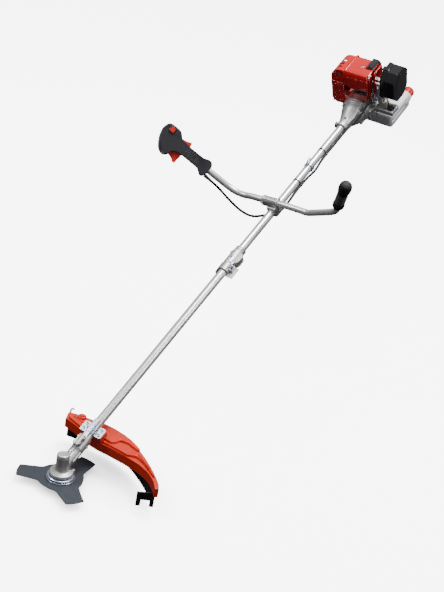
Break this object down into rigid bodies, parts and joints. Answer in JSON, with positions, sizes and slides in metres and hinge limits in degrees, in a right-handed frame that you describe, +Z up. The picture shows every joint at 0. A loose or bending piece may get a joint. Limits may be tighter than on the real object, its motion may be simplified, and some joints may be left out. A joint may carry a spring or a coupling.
{
  "type": "brush cutter",
  "caption": "Petrol brush cutter: engine and fuel tank on a two-piece shaft with bull-horn handlebar, bevel gear head, toothed steel blade and guard.",
  "frame": {"origin": "centre of the harness eye above the shaft, with the machine posed as it is used: blade level, shaft rising 30 degrees towards the engine", "axes": "+Y level, from the blade towards the engine; +X to the operator's left; +Z up, square to the blade's plane"},
  "size_m": [0.7498, 1.8363, 1.1065],
  "materials": {
    "silver_tube": "drawn tube, satin silver",
    "cast_alloy": "die-cast, fine grain",
    "zinc_steel": "bright zinc plate",
    "bare_steel": "machined",
    "blade_steel": "slate grey coat, satin",
    "guard_red": "moulded orange-red, satin",
    "gloss_red": "moulded red, glossy",
    "trigger_red": "moulded red",
    "black_plastic": "moulded black",
    "gloss_black": "moulded black, glossy",
    "handle_black": "moulded charcoal, fine grain",
    "black_rubber": "black rubber",
    "tank_plastic": "natural translucent moulding",
    "foam": "open-cell foam",
    "ceramic_white": "glazed"
  },
  "bodies": {
    "frame": {"lower_tube": "silver_tube", "upper_tube": "silver_tube", "handlebar": "silver_tube", "coupler_body": "cast_alloy", "gear_head_case": "cast_alloy", "handlebar_clamp_lower": "cast_alloy", "handlebar_clamp_upper": "cast_alloy", "clutch_housing": "cast_alloy", "crankcase": "cast_alloy", "cylinder": "cast_alloy", "carburettor": "cast_alloy", "guard_bracket": "zinc_steel", "guard_bracket_cap": "zinc_steel", "harness_clamp": "zinc_steel", "harness_eye": "zinc_steel", "output_bearing": "bare_steel", "muffler": "bare_steel", "guard_shell": "guard_red", "engine_cover": "gloss_red", "muffler_cover": "gloss_red", "guard_skirt": "black_plastic", "cable_tie": "black_plastic", "air_filter_base": "black_plastic", "starter_housing": "black_plastic", "plug_cover": "gloss_black", "air_filter_cover": "gloss_black", "control_handle_front": "handle_black", "control_handle_rear": "handle_black", "left_grip": "black_rubber", "throttle_cable": "black_rubber", "lower_bush": "black_rubber", "upper_bush": "black_rubber", "fuel_tank": "tank_plastic", "air_filter_element": "foam", "spark_plug": "ceramic_white"},
    "drive": {"lower_drive_shaft": "bare_steel", "upper_drive_shaft": "bare_steel", "bevel_pinion": "bare_steel", "clutch_drum": "bare_steel"},
    "blade_rotor": {"bevel_gear": "bare_steel", "output_shaft": "bare_steel", "upper_flange": "zinc_steel", "lower_flange": "zinc_steel", "blade": "blade_steel", "blade_nut": "zinc_steel", "stabiliser_cup": "black_plastic"},
    "crank": {"crankshaft": "bare_steel", "flywheel": "cast_alloy", "clutch_rotor": "bare_steel"},
    "piston": {"piston": "cast_alloy"},
    "trigger": {"throttle_trigger": "trigger_red"},
    "lock_off": {"lock_off_lever": "trigger_red"},
    "switch": {"stop_switch": "trigger_red"},
    "choke": {"choke_lever": "zinc_steel"},
    "bulb": {"primer_bulb": "black_rubber"},
    "starter_grip": {"starter_handle": "black_plastic"},
    "pulley": {"starter_pulley": "black_plastic"},
    "cap": {"fuel_cap": "gloss_red"},
    "knob": {"coupler_knob": "zinc_steel"},
    "pin": {"coupler_pin": "zinc_steel"}
  },
  "joints": [
    {"name": "blade_spin", "type": "hinge", "parent": "frame", "child": "blade_rotor", "pos_m": [0, -1.17528, -0.71435], "axis": [0, 0, 1], "continuous": true},
    {"name": "drive_spin", "type": "hinge", "parent": "frame", "child": "drive", "pos_m": [0, -1.17528, -0.71435], "axis": [0, 0.866, 0.5], "continuous": true},
    {"name": "crank_spin", "type": "hinge", "parent": "frame", "child": "crank", "pos_m": [0, 0.34892, 0.16565], "axis": [0, 0.866, 0.5], "continuous": true},
    {"name": "piston_slide", "type": "slide", "parent": "frame", "child": "piston", "axis": [0, -0.5, 0.866], "range_m": [-0.014, 0.014]},
    {"name": "throttle_trigger", "type": "hinge", "parent": "frame", "child": "trigger", "pos_m": [-0.37091, -0.27018, -0.02847], "axis": [0.4343, -0.7991, 0.4157], "range_deg": [0, 18], "stiffness_Nm_per_rad": 0.25, "springref_deg": -8.59},
    {"name": "lock_off_press", "type": "hinge", "parent": "frame", "child": "lock_off", "pos_m": [-0.35836, -0.25275, -0.00809], "axis": [-0.4343, 0.7991, -0.4157], "range_deg": [0, 12], "stiffness_Nm_per_rad": 0.15, "springref_deg": -8.59},
    {"name": "stop_switch", "type": "hinge", "parent": "frame", "child": "switch", "pos_m": [-0.39217, -0.26965, 0.03083], "axis": [0.2542, 0.5515, 0.7945], "range_deg": [-8, 8]},
    {"name": "choke_lever", "type": "hinge", "parent": "frame", "child": "choke", "pos_m": [0.058, 0.29731, 0.22245], "axis": [0, -0.866, -0.5], "range_deg": [0, 40]},
    {"name": "primer_press", "type": "slide", "parent": "frame", "child": "bulb", "axis": [0, 0.5, -0.866], "range_m": [0, 0.006], "stiffness_N_per_m": 300, "springref_m": -0.001},
    {"name": "starter_pull", "type": "slide", "parent": "frame", "child": "starter_grip", "axis": [0, -0.5, 0.866], "range_m": [0, 0.6], "stiffness_N_per_m": 12, "springref_m": -0.1},
    {"name": "starter_pulley_spin", "type": "hinge", "parent": "frame", "child": "pulley", "pos_m": [0, 0.40868, 0.20015], "axis": [0, 0.866, 0.5], "range_deg": [-1300, 0]},
    {"name": "fuel_cap_turn", "type": "hinge", "parent": "frame", "child": "cap", "pos_m": [0.08, 0.54381, 0.1881], "axis": [0, 0.866, 0.5], "continuous": true},
    {"name": "coupler_knob_turn", "type": "hinge", "parent": "frame", "child": "knob", "pos_m": [0.0235, -0.43656, -0.28785], "axis": [0, -0.5, 0.866], "continuous": true},
    {"name": "coupler_pin_pull", "type": "slide", "parent": "frame", "child": "pin", "axis": [0, -0.5, 0.866], "range_m": [0, 0.005], "stiffness_N_per_m": 500, "springref_m": -0.002}
  ],
  "couplings": [
    {"joint": "drive_spin", "follows": "blade_spin", "ratio": -1.3571},
    {"joint": "starter_pulley_spin", "follows": "starter_pull", "rad_per_m": -36.364}
  ]
}
